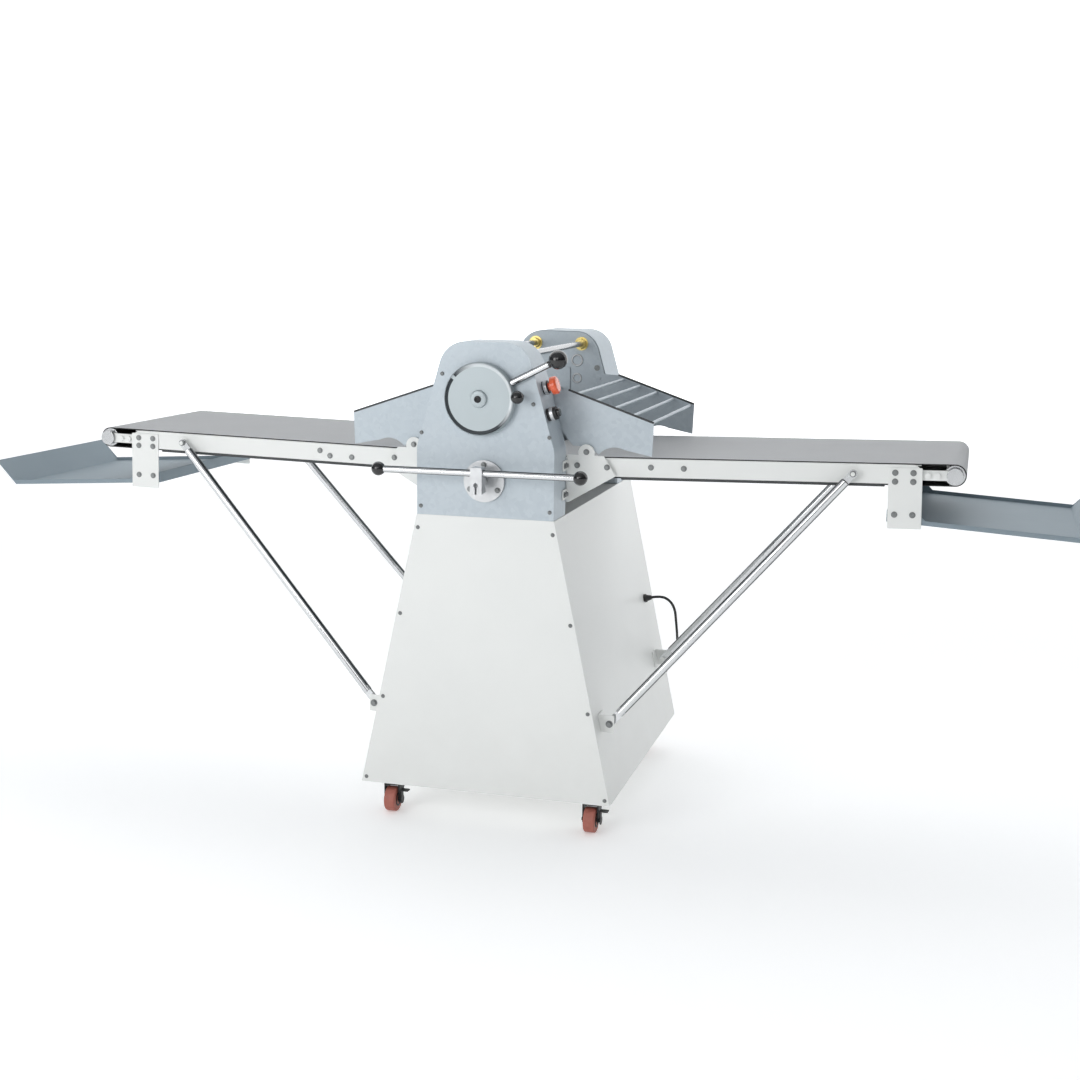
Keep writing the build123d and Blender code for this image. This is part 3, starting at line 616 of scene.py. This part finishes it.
# Casters: red-brown polyurethane tyres on black pressed forks, with a brake pedal on each of the
# front pair.
tyre_red, at, shader = new_finish("red_brown_polyurethane")
scuff = at.noise(70, 5)
set_finish(at, shader, scuff.blend((0.33, 0.085, 0.06), (0.47, 0.17, 0.13)), scuff * 0.25 + 0.4,
           bump=scuff, height=0.0004)
for end in ("front", "rear"):
    for hand in ("left", "right"):
        softened(f"{end}_{hand}_caster_fork", f"{end}_{hand}_fork", satin_black, width=0.0008)
        finished(f"{end}_{hand}_caster_wheel", tyre_red)
        wheel_low, wheel_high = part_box(f"{end}_{hand}_caster_wheel")
        middle = (wheel_low + wheel_high) / 2
        hub_long = wheel_high.x - wheel_low.x + 0.0024
        bpy.ops.mesh.primitive_cylinder_add(vertices=36, radius=0.019, depth=hub_long, location=middle,
                                            rotation=(0, math.pi / 2, 0))
        hub = bpy.context.object
        edit_faces(hub, lambda face: abs(face.normal.z) > 0.9)
        bpy.ops.mesh.inset(thickness=0.004, depth=0)
        bpy.ops.mesh.inset(thickness=0.001, depth=-0.0015)
        bpy.ops.object.mode_set(mode="OBJECT")
        settled(hub, f"{end}_{hand}_wheel_hub", satin_black, f"{end}_{hand}_wheel")
for hand in ("left", "right"):
    softened(f"front_{hand}_brake_pedal", f"front_{hand}_pressed_pedal", satin_black, width=0.0008)

# Drive inside the base, seen only with a panel off: painted motor, cast pulley and rubber belt.
motor_blue, at, shader = new_finish("motor_enamel")
blotch = at.noise(20, 4)
set_finish(at, shader, blotch.blend((0.10, 0.13, 0.17), (0.15, 0.19, 0.23)), blotch * 0.2 + 0.4, bump=blotch)
softened("drive_motor", "drive_motor_housing", motor_blue, width=0.002)
finished("motor_pulley", brushed_steel)
black_rubber, at, shader = new_finish("black_rubber")
bloom = at.noise(90, 4)
set_finish(at, shader, bloom.blend((0.012, 0.012, 0.012), (0.028, 0.028, 0.028)), bloom * 0.2 + 0.45,
           bump=bloom, height=0.0001)
finished("drive_belt", black_rubber)

# Screws and nuts of the base and head. A pan head with a cross recess holds the panels and covers, a
# hexagon bolt with a washer the wing plates, and brass flange nuts the tie rods.
zinc_screw, at, shader = new_finish("dull_zinc_screw")
plating = at.noise(300, 3)
set_finish(at, shader, plating.blend((0.16, 0.17, 0.17), (0.34, 0.35, 0.35)), plating * 0.2 + 0.32, metal=0.8,
           bump=plating, height=0.0001)


def pan_head(radius=0.0052):
    """A pan head with a cross recess, standing on the origin."""
    bpy.ops.mesh.primitive_uv_sphere_add(segments=20, ring_count=10, radius=radius)
    head = bpy.context.object
    head.scale = (1, 1, 0.62)
    bpy.ops.object.transform_apply(scale=True)
    bpy.ops.object.mode_set(mode="EDIT")
    bpy.ops.mesh.select_all(action="SELECT")
    bpy.ops.mesh.bisect(plane_co=(0, 0, 0.0001), plane_no=(0, 0, 1), clear_inner=True, use_fill=True)
    bpy.ops.object.mode_set(mode="OBJECT")
    for turn in (0, math.pi / 2):
        bpy.ops.mesh.primitive_cube_add(size=1, location=(0, 0, radius * 0.66), rotation=(0, 0, turn))
        slot = bpy.context.object
        slot.scale = (radius * 1.15, radius * 0.26, radius * 0.6)
        cut_out(head, slot)
    return head


def hex_bolt(across, tall=0.0048):
    """A hexagon head on its washer, standing on the origin."""
    head_middle = (0, 0, tall / 2 + 0.001)
    bpy.ops.mesh.primitive_cylinder_add(vertices=6, radius=across, depth=tall, location=head_middle)
    head = rounded(bpy.context.object, 0.0005)
    washer_middle = (0, 0, 0.0006)
    bpy.ops.mesh.primitive_cylinder_add(vertices=28, radius=across * 1.35, depth=0.0012, location=washer_middle)
    bolt = joined([head, bpy.context.object])
    bpy.ops.object.transform_apply(location=True, rotation=True, scale=True)
    return bolt


def copied(model, places):
    """The model set on each place, turned to face out of it, and all joined in one piece."""
    copies = []
    for place, way in places:
        one = model.copy()
        one.data = model.data.copy()
        bpy.context.scene.collection.objects.link(one)
        faced(one, place, way)
        copies.append(one)
    bpy.data.objects.remove(model)
    joined(copies).rotation_mode = "XYZ"
    return copies[0]


base_low, base_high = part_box("base_front_panel")
top_half = 0.178
bottom_half = base_high.x
front = base_low.y
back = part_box("base_rear_panel")[1].y
screw_inset = 0.011


def base_half(z):
    """Half the width of the tapered base at a height."""
    share = (z - base_low.z) / (base_high.z - base_low.z)
    return bottom_half + (top_half - bottom_half) * share


spots = []
for z in (0.108, 0.327, 0.548, 0.771):
    for hand in (-1, 1):
        spots.append(((hand * (base_half(z) - screw_inset), front, z), (0, -1, 0)))
        spots.append(((hand * (base_half(z) - screw_inset), back, z), (0, 1, 0)))
for x, z in (
    (-0.166, 0.826), (0.166, 0.826), (-0.164, 1.009),
    (0.163, 1.009), (-0.110, 1.155), (0.122, 1.088),
):
    spots.append(((x, front, z), (0, -1, 0)))
    spots.append(((x, back, z), (0, 1, 0)))
panel_screws = copied(pan_head(), spots)
settled(panel_screws, "panel_screws", zinc_screw, "base")
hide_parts("fasteners")

wing_y = 0.288
spots = []
for facing in (-1, 1):
    for hand in (-1, 1):
        for x, z in ((0.204, 0.930), (0.280, 0.928), (0.227, 0.964)):
            spots.append(((hand * x, facing * wing_y, z), (0, facing, 0)))
        for z in (0.858, 0.930):
            for y in (0.300, 0.316):
                spots.append(((hand * 0.1792, facing * y, z), (hand, 0, 0)))
wing_bolts = copied(hex_bolt(across=0.0055), spots)
settled(wing_bolts, "wing_plate_bolts", zinc_screw, "base")

flange_low, flange_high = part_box("lever_flange")
lever_z = (flange_low.z + flange_high.z) / 2
bolt_circle = 0.041
spots = []
for degrees in (90, 210, 330):
    angle = math.radians(degrees)
    place = (bolt_circle * math.cos(angle), flange_low.y, lever_z + bolt_circle * math.sin(angle))
    spots.append((place, (0, -1, 0)))
flange_bolts = copied(hex_bolt(across=0.0052), spots)
settled(flange_bolts, "lever_flange_bolts", zinc_screw, "base")

brass, at, shader = new_finish("yellow_brass")
tarnish = at.noise(120, 4)
set_finish(at, shader, tarnish.blend((0.62, 0.47, 0.13), (0.83, 0.68, 0.30)), tarnish * 0.2 + 0.2, metal=0.9,
           bump=tarnish, height=0.0001)
rod_low, rod_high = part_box("tie_rods")
rod_r = 0.008
spots = []
for x in (rod_low.x + rod_r, rod_high.x - rod_r):
    for y, facing in ((rod_low.y, 1), (rod_high.y, -1)):
        spots.append(((x, y, (rod_low.z + rod_high.z) / 2), (0, facing, 0)))
bpy.ops.mesh.primitive_cylinder_add(vertices=32, radius=0.019, depth=0.003, location=(0, 0, 0.0015))
nut_flange = bpy.context.object
bpy.ops.mesh.primitive_cylinder_add(vertices=6, radius=0.0145, depth=0.013, location=(0, 0, 0.0095))
nut = joined([rounded(bpy.context.object, 0.0009), nut_flange])
bpy.ops.object.transform_apply(location=True, rotation=True, scale=True)
tie_nuts = copied(nut, spots)
settled(tie_nuts, "brass_flange_nuts", brass, "base")

# Strut foot bolts: a hexagon head with its washer on the outside of each bracket's ear, holding the pin
# that the strut's lower end turns on.
spots = [((hand * 0.314, facing * 0.355, 0.292), (0, facing, 0)) for hand in (-1, 1) for facing in (-1, 1)]
foot_bolts = copied(hex_bolt(across=0.0068), spots)
settled(foot_bolts, "strut_foot_bolts", zinc_screw, "base")

# Bearing rings, pressed steel, on the inner face of the rear side plate above the roller slot, and low
# bolts that hold both side plates, kept flat so that the guards swing past them.
plate_y = 0.2838
ring_sunk = 0.2839
plate_rings = []
for place, radius in (((0.0550, 0.2835, 1.1530), 0.0150), ((0.0550, 0.2835, 1.1030), 0.0120)):
    bpy.ops.mesh.primitive_torus_add(major_segments=40, minor_segments=10, major_radius=radius,
                                     minor_radius=0.0028, location=place, rotation=flat_back)
    ring = bpy.context.object
    bpy.ops.object.transform_apply(location=True, rotation=True)
    bpy.ops.object.mode_set(mode="EDIT")
    bpy.ops.mesh.select_all(action="SELECT")
    bpy.ops.mesh.bisect(plane_co=(0, ring_sunk, 0), plane_no=(0, 1, 0), clear_outer=True, use_fill=True)
    bpy.ops.object.mode_set(mode="OBJECT")
    plate_rings.append(ring)
settled(joined(plate_rings), "rear_plate_rings", brushed_steel, "base")
plate_bolts = copied(hex_bolt(across=0.0060, tall=0.0010), [
    ((0.113, plate_y, 1.133), (0, -1, 0)), ((-0.088, plate_y, 1.103), (0, -1, 0)),
    ((-0.113, -plate_y, 1.133), (0, 1, 0)), ((0.113, -plate_y, 1.133), (0, 1, 0)),
])
settled(plate_bolts, "side_plate_bolts", zinc_screw, "base")

# Painted shade: black strips under the rails, where the belt's return run lies in shadow, stand in for
# that shadow. They ride on each table, as its bolts below do.
def on_table(hand, along, y, up):
    """A point given along and above the sloping table, from its hinge."""
    x = hinge.x + along * math.cos(table_rise) - up * math.sin(table_rise)
    z = hinge.z + along * math.sin(table_rise) + up * math.cos(table_rise)
    return (hand * x, y, z)


shade_strip_from = 0.232
shade_strip_to = 0.872
shade_strip_y = 0.2675
shade_strip_up = -0.0248
shade_strip_lengths = (shade_strip_to - shade_strip_from, 0.0095, 0.0074)
for hand, name in ((-1, "left"), (1, "right")):
    return_shade_strips = []
    for y in (-shade_strip_y, shade_strip_y):
        middle = on_table(hand, (shade_strip_from + shade_strip_to) / 2, y, shade_strip_up)
        return_shade_strips.append(bar(middle, -hand * table_rise, shade_strip_lengths, 0.0012, 2))
    settled(joined(return_shade_strips), f"{name}_belt_return_shade", painted_shade_black, f"{name}_table")

# Table bolts: a few in each rail, six in each hanging plate and the nut that keeps each strut on its
# stud, all with low zinc-plated heads.
rail_y = 0.274
plate_face_y = 0.277
stud_y = 0.2975
for hand, name, rail_bolts in (
    (-1, "left", ((0.323, -0.006), (0.384, -0.006), (0.412, 0.006))),
    (1, "right", ((0.308, 0.004), (0.390, 0.003))),
):
    spots = []
    for facing in (-1, 1):
        for along, up in rail_bolts:
            spots.append((on_table(hand, along, facing * rail_y, up), (0, facing, 0)))
        for along in (0.896, 0.938):
            for up in (0.006, -0.015, -0.094):
                spots.append((on_table(hand, along, facing * plate_face_y, up), (0, facing, 0)))
        spots.append(((hand * 0.879, facing * stud_y, 0.941), (0, facing, 0)))
    bolts = copied(hex_bolt(across=0.0055, tall=0.0023), spots)
    settled(bolts, f"{name}_table_bolts", zinc_screw, f"{name}_table")

# Mains cord: round black rubber flex from a ribbed gland low on the right side, down behind the base
# to the floor, its spare length wound in a neat coil behind the machine with the plug lying on it.
softened("cord_gland", "ribbed_cord_gland", black_rubber, width=0.0006)
cord_width = 0.0075
cord_exit = (0.27277, 0.345, 0.46963)
coil_x = 0.165
coil_y = 0.560
cord_line = [
    cord_exit, (0.30014, 0.345, 0.47552), (0.326, 0.347, 0.465), (0.342, 0.351, 0.439),
    (0.345, 0.358, 0.399), (0.346, 0.378, 0.352), (0.338, 0.420, 0.308), (0.314, 0.462, 0.262),
    (0.290, 0.492, 0.205), (0.276, 0.508, 0.140), (0.270, 0.522, 0.080), (0.258, 0.548, 0.034),
    (0.236, 0.580, 0.00495), (0.205, 0.603, 0.00395),
]
coil_turns = 4.8
steps_each_turn = 14
rounding_in = math.cos(math.pi / steps_each_turn)
stay_in_lane = 0.62
lanes = (
    (0.04925, 0.00395), (0.04175, 0.00395), (0.03425, 0.00395),
    (0.03425, 0.01145), (0.04175, 0.01145), (0.04925, 0.01145),
)
for step in range(int(steps_each_turn * coil_turns)):
    turns = step / steps_each_turn
    lane = int(turns)
    across = max(0.0, (turns - lane - stay_in_lane) / (1 - stay_in_lane))
    reach = lanes[lane][0] + (lanes[lane + 1][0] - lanes[lane][0]) * across
    height = lanes[lane][1] + (lanes[lane + 1][1] - lanes[lane][1]) * across
    angle = math.pi / 2 + 2 * math.pi * turns
    cord_line.append((
        coil_x + reach / rounding_in * math.cos(angle),
        coil_y + reach / rounding_in * math.sin(angle),
        height,
    ))
cord_line += [
    (0.2002, 0.5902, 0.0125), (0.1865, 0.6027, 0.0150), (0.1687, 0.6083, 0.0185), (0.1503, 0.6059, 0.0220),
    (0.1346, 0.5959, 0.0250), (0.1251, 0.5816, 0.0268), (0.1230, 0.5720, 0.0272),
]
flex = bpy.data.curves.new("mains_flex", "CURVE")
flex.dimensions = "3D"
flex.bevel_depth = cord_width / 2
flex.bevel_resolution = 5
flex.resolution_u = 8
flex.use_fill_caps = True
line = flex.splines.new("NURBS")
line.points.add(len(cord_line) - 1)
for point, place in zip(line.points, cord_line):
    point.co = (*place, 1)
line.order_u = 3
line.use_endpoint_u = True
mains_flex = bpy.data.objects.new("mains_flex", flex)
bpy.context.scene.collection.objects.link(mains_flex)
flex.materials.append(black_rubber)
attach(mains_flex, "base")
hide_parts("power_cord", "cord_coil")
plug = softened("mains_plug", "moulded_mains_plug", black_rubber, width=0.0012)
